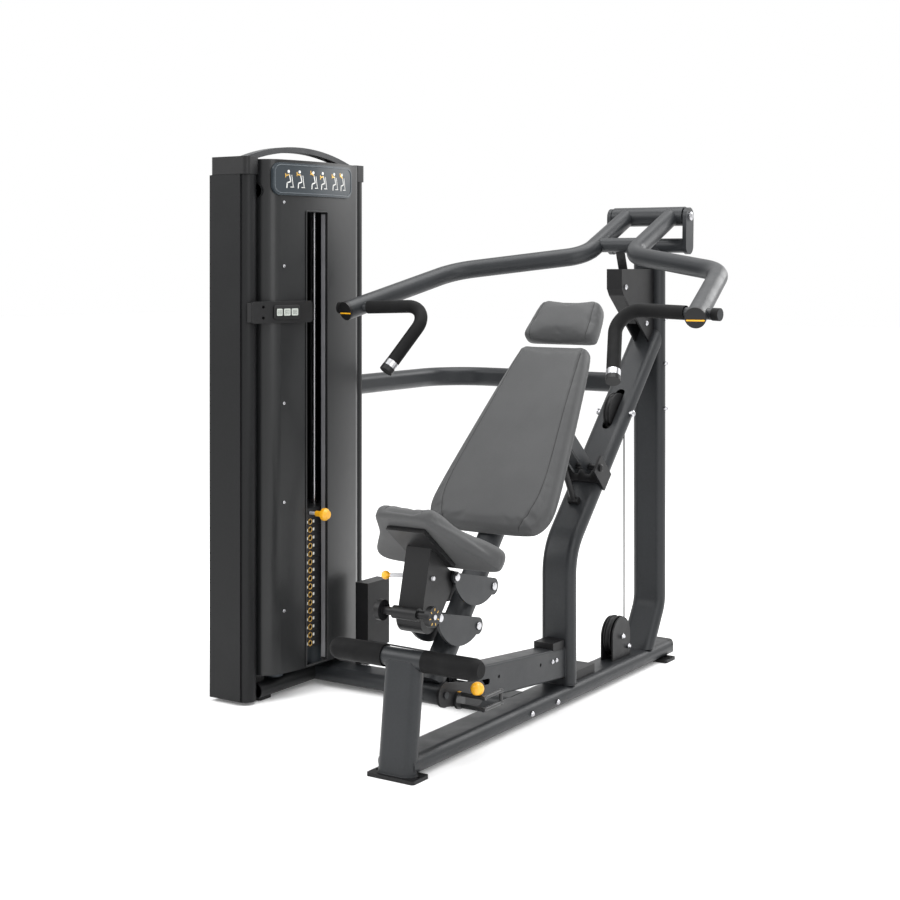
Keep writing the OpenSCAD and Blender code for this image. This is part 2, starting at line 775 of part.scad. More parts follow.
back_face = -46;
back_z0 = 475;
back_l = 683;
head_z0 = 1174;
module back_pad() color(vinyl) in_back() translate([0, back_face, 0]) rotate([90, 0, 0])
    linear_extrude(pad_t) polygon([[-138, back_z0], [138, back_z0], [185, back_z0 + 22],
        [back_w / 2, back_z0 + 70], [back_w / 2 - 8, back_z0 + 130], [128, back_z0 + back_l - 40],
        [100, back_z0 + back_l], [-100, back_z0 + back_l], [-128, back_z0 + back_l - 40],
        [-back_w / 2 + 8, back_z0 + 130], [-back_w / 2, back_z0 + 70], [-185, back_z0 + 22]]);

module head_pad() color(vinyl) in_back() translate([0, back_face, head_z0])
    rotate([90, 0, 0]) linear_extrude(pad_t + 6)
        polygon([[-128, 0], [128, 0], [114, 140], [92, 156], [-92, 156], [-114, 140]]);

module rail_carriage() color(black) {
    translate([press_x, carriage_y, carriage_z]) rotate([-rail_lean, 0, 0]) {
        for (s = [0, 1]) mirror([s, 0, 0]) translate([58.2, -22, -33]) cube([7.8, 97, 66]);
        translate([-58.2, 30, -33]) cube([116.4, 10.5, 66]);
    }
    x_rod(carriage_y, carriage_z, carriage_pin_r, 64);
    for (s = [-1, 1]) bolt_head([press_x + s * 66, carriage_y, carriage_z], [0, s * 90, 0], 12, 9);
}

strut_v = unit([0, strut_head[0] - strut_foot[0], strut_head[1] - strut_foot[1]]);
strut_l = norm(strut_head - strut_foot);
module along_strut() place([press_x, strut_foot[0], strut_foot[1]], strut_v, [1, 0, 0]) children();

module strut_bracket() color(black) for (s = [-1, 1]) yz_plate(press_x + s * 15 - 3, 6) difference() {
    union() {
        translate(strut_foot) circle(10);
        translate(strut_foot) rotate(-rail_lean) translate([0, -10]) square([10.9, 20]);
    }
    translate(strut_foot) circle(6.05);
}

module gas_cylinder() color(black) {
    x_rod(strut_foot[0], strut_foot[1], 6, 18);
    along_strut() {
        rotate([0, 90, 0]) cylinder(r = 10, h = 22, center = true);
        difference() {
            cylinder(d = 20, h = 190);
            translate([0, 0, 30]) cylinder(d = 10.1, h = 200);
        }
    }
}

module gas_rod() color(chrome) along_strut() difference() {
    union() {
        translate([0, 0, 60]) cylinder(d = 10, h = strut_l - 65);
        translate([0, 0, strut_l]) rotate([0, 90, 0]) cylinder(r = 12, h = 24, center = true);
    }
    translate([0, 0, strut_l]) rotate([0, 90, 0]) cylinder(r = 7.6, h = 40, center = true);
}

// Side plate of the seat linkage: straight upper edge, full lower edge.
module link(at) {
    b = at + link_vec;
    half = norm(link_vec) / 2;
    for (s = [-1, 1]) yz_plate(s * 49 - 4, 8) difference() {
        union() {
            translate((at + b) / 2) rotate(atan2(link_vec[1], link_vec[0])) intersection() {
                translate([0, -75]) circle(140);
                polygon([[-half, -24], [half, -12], [half, 70], [-half, 70]]);
            }
            translate(at) circle(24);
            translate(b) circle(16);
        }
        translate(at) circle(7.05);
        translate(b) circle(7.05);
    }
}

module seat_links_upper() color(charcoal) in_back() link(link_up);
module seat_links_lower() color(charcoal) in_back() link(link_down);

// Seat frame: origin on the middle surface at its widest, u towards the nose, n upwards.
seat_o = [-573, 565];
seat_tilt = 38;
function in_seat(p) = seat_o + [-p[0] * cos(seat_tilt) + p[1] * sin(seat_tilt),
    p[0] * sin(seat_tilt) + p[1] * cos(seat_tilt)];
function link_end(q) = [sled_y + (q[0] + link_vec[0]) * cos(back_lean) + (q[1] + link_vec[1]) * sin(back_lean),
    sled_z - (q[0] + link_vec[0]) * sin(back_lean) + (q[1] + link_vec[1]) * cos(back_lean)];
scale_axis = [-740, 428];
lever_hub = [-675, 515];

module seat_carrier() color(black) {
    yz_plate(press_x - 40, 80) difference() {
        union() {
            polygon([in_seat([105, -42]), [-724, 426], [-700, 380], link_end(link_down) + [14, -10],
                link_end(link_up) + [14, -12], in_seat([-32, -40]), in_seat([0, -42])]);
            translate([-690, 410]) circle(42);
            translate(link_end(link_down)) circle(17);
            translate(link_end(link_up)) circle(17);
            translate(scale_axis) circle(18);
        }
        translate(lever_hub) circle(6.05);
    }
    yz_plate(press_x - 62, 124) polygon([in_seat([2, -42]), in_seat([190, -42]), in_seat([190, -30]),
        in_seat([2, -30])]);
    for (q = [link_up, link_down]) x_rod(link_end(q)[0], link_end(q)[1], 7, 56);
    x_rod(scale_axis[0], scale_axis[1], 11, 84);
    for (s = [-1, 1]) x_rod(scale_axis[0], scale_axis[1], 28, 8, press_x + s * 82);
}

module seat_pad() color(vinyl) translate([press_x, seat_o[0], seat_o[1]]) rotate([-seat_tilt, 0, 0])
    translate([0, 0, -pad_t / 2 - 2.5]) linear_extrude(pad_t + 5) polygon([[-85, -242],
        [85, -242], [112, -205], [128, -150], [160, -90], [198, -40], [seat_w / 2, 0], [200, 24], [150, 38],
        [-150, 38], [-200, 24], [-seat_w / 2, 0], [-198, -40], [-160, -90], [-128, -150], [-112, -205]]);

module seat_lever() color(chrome) {
    x_rod(lever_hub[0], lever_hub[1], 6, 46);
    x_rod(lever_hub[0], lever_hub[1], 14, 4, press_x - 46);
    u = unit([-55, -20, -2]);
    place([press_x - 46, lever_hub[0], lever_hub[1]], u, side_of(u)) rotate_extrude() {
        square([5.5, 58]);
        translate([0, 58]) intersection() {
            circle(12);
            translate([0, -12]) square([12, 24]);
        }
    }
}

foot_plates();
front_post();
foot_rest_tube();
foot_rest_sleeves();
main_base_front();
main_base_rear();
base_end_cap();
cross_base_tube();
rear_upright();
back_rail();
seat_base_tube();
brace_tube();
arm_yoke();
arm_axle();
strap_housing();
tower_frame();
side_panel();
tower_caps();
carry_handle();
user_shroud();
outer_shroud();
placard();
counter_bracket();
guide_rods();
stack_bumpers();
weight_plates();
lift_cable();
tower_pulley_box();
low_pulley_block();
pulley_guards();
drive_cables();
frame_bolts();
rail_pulley();
base_pulley();
arm_pivot_tube();
arm_left();
arm_right();
arm_spreader();
arm_end_caps();
handle_tubes();
handle_grips();
handle_rings();
handle_end_caps();
arm_strap();
stack_head();
selector_pin();
seat_sled();
incline_pedal();
back_column();
back_pad();
head_pad();
rail_carriage();
strut_bracket();
gas_cylinder();
gas_rod();
seat_links_upper();
seat_links_lower();
seat_carrier();
seat_pad();
seat_lever();
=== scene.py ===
"""Looks for the incline chest press: padded vinyl, glossy shrouds, powder-coated tubes and trim."""
import bmesh
import bpy
import math
from mathutils import Matrix, Vector
from mathutils.bvhtree import BVHTree


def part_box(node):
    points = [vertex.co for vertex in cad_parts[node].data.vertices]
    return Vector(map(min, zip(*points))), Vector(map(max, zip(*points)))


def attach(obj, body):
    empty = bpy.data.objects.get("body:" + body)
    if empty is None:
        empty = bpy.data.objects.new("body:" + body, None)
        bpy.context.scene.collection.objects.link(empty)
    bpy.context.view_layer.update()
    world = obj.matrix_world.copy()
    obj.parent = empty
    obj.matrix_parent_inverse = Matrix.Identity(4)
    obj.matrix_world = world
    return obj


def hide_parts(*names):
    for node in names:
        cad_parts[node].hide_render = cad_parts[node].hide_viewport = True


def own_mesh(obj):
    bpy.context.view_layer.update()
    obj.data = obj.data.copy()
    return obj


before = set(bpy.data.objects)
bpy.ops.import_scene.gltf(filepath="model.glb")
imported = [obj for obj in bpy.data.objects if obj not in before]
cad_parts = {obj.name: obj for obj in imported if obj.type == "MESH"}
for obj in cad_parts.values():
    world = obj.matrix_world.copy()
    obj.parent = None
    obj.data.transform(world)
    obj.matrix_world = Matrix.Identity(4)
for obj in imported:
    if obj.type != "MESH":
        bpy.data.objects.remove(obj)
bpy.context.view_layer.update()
MM = 0.001

# ---- Places and sizes of the CAD model, in the row frame ----
MID_X = 0.130  # middle plane of the seat, the upright and the arms
BACK_LEAN = math.radians(-41)
SEAT_TILT = math.radians(-38)
PIVOT = Vector((MID_X, -0.625, 0.190))
SEAT_ORIGIN = Vector((MID_X, -0.573, 0.565))
BACK_TURN = Matrix.Translation(PIVOT) @ Matrix.Rotation(BACK_LEAN, 4, "X")
BACK_FRAME = BACK_TURN @ Matrix.Rotation(math.radians(90), 4, "X")
SEAT_FRAME = Matrix.Translation(SEAT_ORIGIN) @ Matrix.Rotation(SEAT_TILT, 4, "X")
COLUMN_FACE = 46  # mm from the back frame's axis to the face that the pads are fixed to
DISC_Y, DISC_Z, DISC_HALF = -0.740, 0.428, 90 * MM
PLATE_COUNT = 16
OVAL_W, OVAL_T = 0.115, 0.050  # the flat-oval frame tube
SHROUD_R = 0.900
SHROUD_EDGE = Vector((-0.578, -0.1825))
SHROUD_AXIS = (SHROUD_EDGE.x - SHROUD_R, SHROUD_EDGE.y)
PLACARD_FACE = 8 * MM  # how far the placard's face stands off the shroud
SLOT_HALF = 50 * MM
SLOT_MID_Z = 0.812

# ---- Camera, in the row frame ----
camera = bpy.data.objects.new("camera", bpy.data.cameras.new("camera"))
camera.location = (2.56, -4.24, 1.36)
camera.rotation_euler = (math.radians(90), 0, math.radians(33.2))
camera.data.lens = 63.48
camera.data.sensor_width = 36
camera.data.shift_y = -0.2044
bpy.context.scene.collection.objects.link(camera)
bpy.context.scene.camera = camera


def box_mid(node):
    low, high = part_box(node)
    return (Vector(low) + Vector(high)) / 2


# ---- Node materials ----
class Shader:
    """A Principled material whose colour, roughness and bump come from nodes."""

    def __init__(self, name, metallic=0.0, coat=0.0, coat_roughness=0.1, sheen=0.0, specular=0.5):
        self.mat = bpy.data.materials.new(name)
        self.mat.use_nodes = True
        self.tree = self.mat.node_tree
        self.out = self.tree.nodes["Principled BSDF"]
        self.set("Metallic", metallic)
        self.set("Coat Weight", coat)
        self.set("Coat Roughness", coat_roughness)
        self.set("Sheen Weight", sheen)
        self.set("Specular IOR Level", specular)
        self.coord = self.node("ShaderNodeTexCoord").outputs["Object"]

    def set(self, socket, value):
        self.out.inputs[socket].default_value = value

    def node(self, kind, **values):
        n = self.tree.nodes.new(kind)
        for key, value in values.items():
            if key in n.inputs:
                n.inputs[key].default_value = value
            else:
                setattr(n, key, value)
        return n

    def link(self, a, b):
        self.tree.links.new(a, b)

    def noise(self, scale, detail=3.0, roughness=0.6, stretch=None):
        n = self.node("ShaderNodeTexNoise", Scale=scale, Detail=detail, Roughness=roughness)
        self.link(self.scaled(stretch), n.inputs["Vector"])
        return n.outputs["Fac"]

    def scaled(self, stretch):
        if stretch is None:
            return self.coord
        m = self.node("ShaderNodeMapping")
        m.inputs["Scale"].default_value = stretch
        self.link(self.coord, m.inputs["Vector"])
        return m.outputs["Vector"]

    def ramp(self, fac, stops):
        r = self.node("ShaderNodeValToRGB")
        while len(r.color_ramp.elements) < len(stops):
            r.color_ramp.elements.new(0.5)
        for e, (pos, colour) in zip(r.color_ramp.elements, stops):
            e.position = pos
            e.color = (*colour, 1)
        self.link(fac, r.inputs["Fac"])
        return r.outputs["Color"]

    def grey_ramp(self, fac, low, high):
        return self.ramp(fac, [(0.3, (low,) * 3), (0.7, (high,) * 3)])

    def mix(self, fac, a, b, blend="MIX"):
        m = self.node("ShaderNodeMix", data_type="RGBA", blend_type=blend)
        for socket, value in ((m.inputs[0], fac), (m.inputs[6], a), (m.inputs[7], b)):
            if isinstance(value, (int, float)):
                socket.default_value = value
            elif isinstance(value, tuple):
                socket.default_value = (*value, 1)
            else:
                self.link(value, socket)
        return m.outputs[2]

    def colour(self, out):
        self.link(out, self.out.inputs["Base Color"])

    def roughness(self, out):
        self.link(out, self.out.inputs["Roughness"])

    def bump(self, height, strength, distance):
        b = self.node("ShaderNodeBump", Strength=strength, Distance=distance)
        previous = self.out.inputs["Normal"].links
        if previous:
            self.link(previous[0].from_socket, b.inputs["Normal"])
        self.link(height, b.inputs["Height"])
        self.link(b.outputs["Normal"], self.out.inputs["Normal"])

    def soften(self, radius):
        """Edges catch light as if rounded by radius."""
        bevel = self.node("ShaderNodeBevel", samples=4)
        bevel.inputs["Radius"].default_value = radius
        self.link(bevel.outputs["Normal"], self.out.inputs["Normal"])

    def above(self, axis, limit):
        """1 where the coordinate along axis is over limit, in the row frame."""
        split = self.node("ShaderNodeSeparateXYZ")
        self.link(self.coord, split.inputs[0])
        m = self.node("ShaderNodeMath", operation="GREATER_THAN")
        self.link(split.outputs[axis], m.inputs[0])
        m.inputs[1].default_value = limit
        return m.outputs[0]


def painted(name, low, high, rough, metallic=0.15, coat=0.08, grain=900, specular=0.35):
    s = Shader(name, metallic=metallic, coat=coat, coat_roughness=0.25, specular=specular)
    s.soften(1.6 * MM)
    base = s.ramp(s.noise(7, 5), [(0.3, low), (0.7, high)])
    s.colour(s.mix(s.grey_ramp(s.noise(160, 3), 0.0, 0.35), base, tuple(1.5 * c for c in high)))
    s.roughness(s.grey_ramp(s.noise(14, 4), rough - 0.05, rough + 0.07))
    s.bump(s.noise(grain, 2), 0.18, 0.2 * MM)
    return s.mat


def plastic(name, low, high, rough, coat=0.0, grain=1500, bump=0.25, specular=0.3):
    s = Shader(name, coat=coat, coat_roughness=0.12, specular=specular)
    s.soften(1.2 * MM)
    s.colour(s.ramp(s.noise(11, 4), [(0.3, low), (0.7, high)]))
    s.roughness(s.grey_ramp(s.noise(25, 4), rough - 0.02, rough + 0.03))
    s.bump(s.noise(grain, 2), bump, 0.15 * MM)
    return s.mat


def metal(name, colour, rough, stretch=(1, 1, 1), scale=300):
    s = Shader(name, metallic=1.0)
    s.soften(0.8 * MM)
    s.colour(s.ramp(s.noise(18, 4), [(0.3, tuple(0.86 * c for c in colour)), (0.7, colour)]))
    s.roughness(s.grey_ramp(s.noise(scale, 3, stretch=stretch), rough, rough + 0.10))
    s.bump(s.noise(scale * 3, 2, stretch=stretch), 0.08, 0.1 * MM)
    return s.mat


def vinyl():
    """Upholstery vinyl: cell grain and faint creases."""
    s = Shader("vinyl_grain", sheen=0.10, specular=0.25)
    cells = s.node("ShaderNodeTexVoronoi", Scale=520.0)
    s.link(s.coord, cells.inputs["Vector"])
    crease = s.noise(70, 6)
    base = s.ramp(s.noise(5, 4), [(0.3, (0.048, 0.049, 0.050)), (0.7, (0.058, 0.059, 0.060))])
    s.colour(s.mix(s.grey_ramp(cells.outputs["Distance"], 0.0, 0.22), base, (0.026, 0.026, 0.027)))
    s.roughness(s.grey_ramp(s.noise(9, 4), 0.50, 0.64))
    s.bump(crease, 0.12, 1.2 * MM)
    s.bump(cells.outputs["Distance"], 0.35, 0.35 * MM)
    return s.mat


def rubber_grip():
    """Moulded foam-rubber grip with fine pebbling."""
    s = Shader("grip_rubber", specular=0.12)
    s.soften(1.2 * MM)
    pebble = s.node("ShaderNodeTexVoronoi", Scale=700.0)
    s.link(s.coord, pebble.inputs["Vector"])
    s.colour(s.ramp(s.noise(16, 4), [(0.3, (0.0050, 0.0050, 0.0053)), (0.7, (0.0080, 0.0080, 0.0083))]))
    s.roughness(s.grey_ramp(s.noise(20, 3), 0.55, 0.72))
    s.bump(pebble.outputs["Distance"], 0.5, 0.4 * MM)
    return s.mat


def webbing():
    """Woven belt: bands across and a fine rib along."""
    s = Shader("belt_weave")
    wave = s.node("ShaderNodeTexWave", Scale=210.0, bands_direction="Z")
    s.link(s.coord, wave.inputs["Vector"])
    s.colour(s.ramp(wave.outputs["Fac"], [(0.2, (0.006, 0.006, 0.006)), (0.8, (0.014, 0.014, 0.015))]))
    s.roughness(s.grey_ramp(s.noise(40, 3), 0.6, 0.75))
    s.bump(wave.outputs["Fac"], 0.5, 0.4 * MM)
    return s.mat


def cable():
    """Nylon-coated steel cable; the strands show faintly through."""
    s = Shader("cable_nylon", coat=0.3)
    wave = s.node("ShaderNodeTexWave", Scale=120.0, bands_direction="DIAGONAL")
    s.link(s.coord, wave.inputs["Vector"])
    s.colour(s.ramp(wave.outputs["Fac"], [(0.2, (0.016, 0.016, 0.017)), (0.8, (0.030, 0.030, 0.032))]))
    s.roughness(s.grey_ramp(s.noise(30, 3), 0.3, 0.42))
    s.bump(wave.outputs["Fac"], 0.2, 0.2 * MM)
    return s.mat


def two_part(name, axis, limit, below, over, rough=(0.3, 0.3), metallic=0.0):
    """One material below a coordinate, another above it, such as a knob on a steel shaft."""
    s = Shader(name, metallic=metallic, coat=0.2)
    s.soften(1.0 * MM)
    mask = s.above(axis, limit)
    grain = s.grey_ramp(s.noise(30, 4), 0.85, 1.0)
    s.colour(s.mix(1.0, s.mix(mask, below, over), grain, "MULTIPLY"))
    s.roughness(s.mix(mask, (rough[0],) * 3, (rough[1],) * 3))
    s.bump(s.noise(500, 2), 0.15, 0.2 * MM)
    return s.mat


YELLOW = (0.86, 0.42, 0.015)
STEEL = (0.55, 0.55, 0.57)
MAT = {
    "frame": painted("charcoal_coat", (0.0125, 0.0138, 0.0155), (0.0160, 0.0176, 0.0197), 0.42),
    "black": painted("black_coat", (0.0045, 0.0045, 0.0050), (0.0065, 0.0065, 0.0071), 0.44,
                     metallic=0.05, specular=0.25),
    "panel": painted("panel_coat", (0.0050, 0.0052, 0.0056), (0.0070, 0.0073, 0.0079), 0.46,
                     metallic=0.05, grain=1400, specular=0.2),
    "plastic": plastic("moulded_black", (0.0065, 0.0065, 0.0070), (0.0095, 0.0095, 0.0100), 0.42),
    "shroud": plastic("shroud_gloss", (0.0080, 0.0084, 0.0090), (0.0095, 0.0100, 0.0106), 0.34,
                      coat=0.10, grain=1200, bump=0.06, specular=0.35),
    "placard": plastic("placard_face", (0.020, 0.027, 0.033), (0.026, 0.034, 0.041), 0.32, coat=0.2),
    "chrome": metal("chrome", (0.52, 0.52, 0.54), 0.16),
    "silver": metal("turned_silver", (0.62, 0.62, 0.64), 0.25, stretch=(1, 1, 6)),
    "gold": metal("gold_ring", (0.80, 0.50, 0.14), 0.28),
    "iron": painted("plate_coat", (0.008, 0.008, 0.009), (0.012, 0.012, 0.013), 0.46, metallic=0.2, grain=600),
    "yellow": plastic("yellow_mark", (0.78, 0.38, 0.012), (0.90, 0.46, 0.02), 0.34, coat=0.2),
    # painted highlight: pale grey stands in for the light caught by the inner face of the selector slot
    "slot_highlight": plastic("painted_highlight_grey", (0.16, 0.16, 0.17), (0.22, 0.22, 0.23), 0.35, coat=0.2),
    "rim": plastic("placard_rim", (0.055, 0.066, 0.076), (0.068, 0.080, 0.090), 0.3, coat=0.2),
    "white": plastic("printed_white", (0.62, 0.62, 0.60), (0.72, 0.72, 0.70), 0.5),
    "lcd": plastic("display_glass", (0.42, 0.45, 0.42), (0.52, 0.55, 0.51), 0.12, coat=0.8),
    "ink": plastic("display_ink", (0.012, 0.012, 0.012), (0.02, 0.02, 0.02), 0.4),
    "vinyl": vinyl(),
    "seam": plastic("seam_thread", (0.012, 0.012, 0.012), (0.018, 0.018, 0.018), 0.7),
    "grip": rubber_grip(),
    "belt": webbing(),
    "cable": cable(),
    "bumper": plastic("bumper_rubber", (0.030, 0.037, 0.044), (0.038, 0.046, 0.053), 0.55),
}

NODE_LOOKS = {
    "black": "foot_plates strap_housing tower_pulley_box low_pulley_block pulley_guards seat_sled rail_carriage "
             "strut_bracket gas_cylinder seat_carrier",
    "panel": "side_panel tower_frame",
    "plastic": "base_end_cap tower_caps rail_pulley base_pulley arm_end_caps handle_end_caps counter_bracket",
    "bumper": "stack_bumpers",
    "shroud": "user_shroud outer_shroud",
    "placard": "placard",
    "chrome": "arm_axle guide_rods frame_bolts gas_rod",
    "silver": "handle_rings",
    "iron": "weight_plates stack_head",
    "grip": "handle_grips foot_rest_sleeves",
    "belt": "arm_strap",
    "cable": "drive_cables lift_cable",
}


def paint(obj, mat):
    obj.data.materials.clear()
    obj.data.materials.append(mat)


look_of = {n: look for look, names in NODE_LOOKS.items() for n in names.split()}
for node_name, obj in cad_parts.items():
    paint(obj, MAT[look_of.get(node_name, "frame")])
pin_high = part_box("selector_pin")[1]
paint(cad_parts["selector_pin"],
      two_part("selector_finish", 0, pin_high[0] - 52 * MM, STEEL, YELLOW))
pedal_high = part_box("incline_pedal")[1]
paint(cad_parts["incline_pedal"],
      two_part("pedal_finish", 2, pedal_high[2] - 33.5 * MM, (0.008, 0.008, 0.009), YELLOW, (0.4, 0.3)))
lever_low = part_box("seat_lever")[0]
paint(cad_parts["seat_lever"],
      two_part("lever_finish", 0, lever_low[0] + 26 * MM, YELLOW, STEEL, (0.3, 0.15)))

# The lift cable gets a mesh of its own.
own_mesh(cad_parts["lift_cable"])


# ---- Mesh helpers ----
def new_object(name, mesh, mat, matrix=None, smooth=True):
    obj = bpy.data.objects.new(name, mesh)
    bpy.context.scene.collection.objects.link(obj)
    if matrix is not None:
        mesh.transform(matrix)
    if mat:
        mesh.materials.append(mat)
    for p in mesh.polygons:
        p.use_smooth = smooth
    return obj


def from_bmesh(bm, name, mat, matrix=None, smooth=True):
    bmesh.ops.recalc_face_normals(bm, faces=bm.faces)
    mesh = bpy.data.meshes.new(name)
    bm.to_mesh(mesh)
    bm.free()
    return new_object(name, mesh, mat, matrix, smooth)


def skin(bm, rings, closed=False):
    """Faces from each ring of points to the next; the ends are capped unless the rings join up."""
    n = len(rings[0])
    pairs = list(zip(rings, rings[1:])) + ([(rings[-1], rings[0])] if closed else [])
    for lower, upper in pairs:
        for i in range(n):
            j = (i + 1) % n
            bm.faces.new((lower[i], lower[j], upper[j], upper[i]))
    if not closed:
        bm.faces.new(rings[0][::-1])
        bm.faces.new(rings[-1])


def slab(bm, outline, z0, z1, edge=0.0, steps=3):
    """A closed prism of a 2D outline, its upper rim rounded by edge."""
    centre = sum((Vector(p) for p in outline), Vector((0, 0))) / len(outline)

    def ring(inset, z):
        return [bm.verts.new((*(Vector(p) + (centre - Vector(p)).normalized() * inset), z)) for p in outline]

    rings = [ring(0, z0)]
    for k in range(steps + 1 if edge else 1):
        a = math.pi / 2 * k / steps if edge else 0
        rings.append(ring(edge * (1 - math.cos(a)), z1 - edge + edge * math.sin(a)))
    skin(bm, rings)


def tube(bm, points, radius, sides=8, closed=False):
    """A round tube along a list of points."""
    n = len(points)
    rings = []
    up = Vector((0.13, 0.31, 0.94))
    for i, p in enumerate(points):
        if closed:
            d = points[(i + 1) % n] - points[i - 1]
        else:
            d = points[min(i + 1, n - 1)] - points[max(i - 1, 0)]
        side = d.cross(up).normalized()
        over = side.cross(d).normalized()
        rings.append([bm.verts.new(p + radius * (math.cos(a) * side + math.sin(a) * over))
                      for a in (2 * math.pi * k / sides for k in range(sides))])
    skin(bm, rings, closed)


def rounded(w, h, r, n=5):
    """Outline of a rounded rectangle."""
    out = []
    for cx, cy, a0 in ((1, 1, 0), (-1, 1, 90), (-1, -1, 180), (1, -1, 270)):
        for k in range(n + 1):
            a = math.radians(a0 + 90 * k / n)
            out.append((cx * (w / 2 - r) + r * math.cos(a), cy * (h / 2 - r) + r * math.sin(a)))
    return out


def disc(r, n=24, at=(0, 0)):
    return [(at[0] + r * math.cos(2 * math.pi * k / n), at[1] + r * math.sin(2 * math.pi * k / n))
            for k in range(n)]


def shifted(outline, x, y):
    return [Vector(p) + Vector((x, y)) for p in outline]


def frame_at(origin, x_dir, z_dir):
    """Matrix that puts local X along x_dir and local Z along z_dir at origin."""
    z = Vector(z_dir).normalized()
    x = Vector(x_dir).normalized()
    y = z.cross(x)
    return Matrix.Translation(origin) @ Matrix((x, y, z)).transposed().to_4x4()


# ---- Upholstery ----
VOXEL = 5 * MM
COVER = 3 * MM  # the foam starts this far inside the outline and swells out to it
HELD_DEPTH = 7 * MM  # the part of a cushion next to its board, which stays put
GROOVE_DEPTH, GROOVE_WIDTH = 2.2 * MM, 3.2 * MM
THREAD_R = 0.9 * MM
CLOTH_FRAMES = 20


def chaikin(points, times=3):
    """Cuts corners so that a polygon becomes a smooth closed outline."""
    pts = [Vector(p) for p in points]
    for _ in range(times):
        pts = [q for i in range(len(pts))
               for q in (0.75 * pts[i - 1] + 0.25 * pts[i], 0.25 * pts[i - 1] + 0.75 * pts[i])]
    return pts


def inset(points, d):
    """The outline moved inwards by d."""
    out = []
    for i, p in enumerate(points):
        t = (points[(i + 1) % len(points)] - points[i - 1]).normalized()
        out.append(p + Vector((-t.y, t.x)) * d)
    return out


def foam_block(outline, thickness, belly, crown, side_steps=8, crown_steps=6):
    """Closed soft block: sides round over, less so towards the back, the face crowned, the back flat."""
    bm = bmesh.new()
    rings = []
    for k in range(side_steps + 1):
        a = -math.pi / 2 + math.pi * k / side_steps
        r = belly if a > 0 else belly * 0.55
        z = 0.5 * thickness * math.sin(a)
        rings.append([bm.verts.new((p.x, p.y, z)) for p in inset(outline, r * (1 - math.cos(a)))])
    centre = sum(outline, Vector((0, 0))) / len(outline)
    for k in range(1, crown_steps):
        f = k / crown_steps
        z = thickness / 2 + crown * math.sin(f * math.pi / 2)
        rings.append([bm.verts.new((*(p + (centre - p) * f), z)) for p in inset(outline, belly)])
    skin(bm, rings)
    return bm


def inflate(obj, back_z, cap):
    """Cloth simulation under inner pressure; the mounting face stays put and no point moves over cap."""
    start = [v.co.copy() for v in obj.data.vertices]
    group = obj.vertex_groups.new(name="held")
    group.add([v.index for v in obj.data.vertices if v.co.z < back_z], 1.0, "REPLACE")
    cloth = obj.modifiers.new("cloth", "CLOTH")
    s = cloth.settings
    s.vertex_group_mass = "held"
    s.use_pressure = True
    s.uniform_pressure_force = 4.0
    s.effector_weights.gravity = 0
    s.tension_stiffness = s.compression_stiffness = 15
    s.mass = 0.3
    cloth.collision_settings.use_collision = False
    scene = bpy.context.scene
    for f in range(1, CLOTH_FRAMES + 1):
        scene.frame_set(f)
    settled = obj.evaluated_get(bpy.context.evaluated_depsgraph_get()).to_mesh()
    moved = [v.co.copy() for v in settled.vertices]
    obj.modifiers.remove(cloth)
    obj.vertex_groups.clear()
    for v, a, b in zip(obj.data.vertices, start, moved):
        d = b - a
        v.co = a + d * min(1.0, cap / d.length) if d.length else a
    scene.frame_set(1)


def near_line(p, line):
    """Distance in plan from p to a polyline."""
    best = 1.0
    for a, b in zip(line, line[1:]):
        ab = b - a
        t = max(0.0, min(1.0, (p - a).dot(ab) / ab.dot(ab)))
        best = min(best, (a + ab * t - p).length)
    return best


def pad(name, node, body, outline, thickness, matrix, seams, lift=0.0, belly=16 * MM, crown=4 * MM,
        cap=7 * MM, shape=None):
    """A padded piece: foam block, inflated cloth, sewn channels pressed in, thread laid in them."""
    rim = chaikin([Vector(p) * MM for p in outline])
    bm = foam_block(inset(rim, COVER), thickness, belly, crown)
    mesh = bpy.data.meshes.new(name)
    bmesh.ops.recalc_face_normals(bm, faces=bm.faces)
    bm.to_mesh(mesh)
    bm.free()
    obj = new_object(name, mesh, None)
    remesh = obj.modifiers.new("remesh", "REMESH")
    remesh.mode = "VOXEL"
    remesh.voxel_size = VOXEL
    bpy.context.view_layer.objects.active = obj
    bpy.ops.object.modifier_apply(modifier="remesh")
    if shape:
        for v in obj.data.vertices:
            v.co.z += shape(v.co.x, v.co.y) * min(1.0, max(0.0, v.co.z / thickness + 0.5))
    inflate(obj, -thickness / 2 + HELD_DEPTH, cap)
    smooth = obj.modifiers.new("smooth", "SMOOTH")
    smooth.factor = 0.5
    smooth.iterations = 4
    bpy.ops.object.modifier_apply(modifier="smooth")
    sub = obj.modifiers.new("sub", "SUBSURF")
    sub.levels = sub.render_levels = 1
    bpy.ops.object.modifier_apply(modifier="sub")
    lines = [smooth_line([Vector(p) * MM for p in line]) for line in seams]
    for v in obj.data.vertices:
        if v.co.z > -0.1 * thickness:
            d = min(near_line(v.co.xy, line) for line in lines)
            v.co.z -= GROOVE_DEPTH * math.exp(-(d / GROOVE_WIDTH) ** 2)
    tree = BVHTree.FromObject(obj, bpy.context.evaluated_depsgraph_get())
    thread = bmesh.new()
    for line in lines:
        route = []
        for p in line:
            hit = tree.ray_cast(Vector((p.x, p.y, 0.2)), Vector((0, 0, -1)))[0]
            if hit and hit.z > 0:
                route.append(hit + Vector((0, 0, -0.1 * MM)))
        if len(route) > 3:
            tube(thread, route, THREAD_R, 6)
    shift = matrix @ Matrix.Translation((0, 0, lift))
    stitch = from_bmesh(thread, name + "_seams", MAT["seam"], shift)
    obj.data.transform(shift)
    paint(obj, MAT["vinyl"])
    for p in obj.data.polygons:
        p.use_smooth = True
    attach(obj, body)
    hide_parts(node)
    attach(stitch, body)


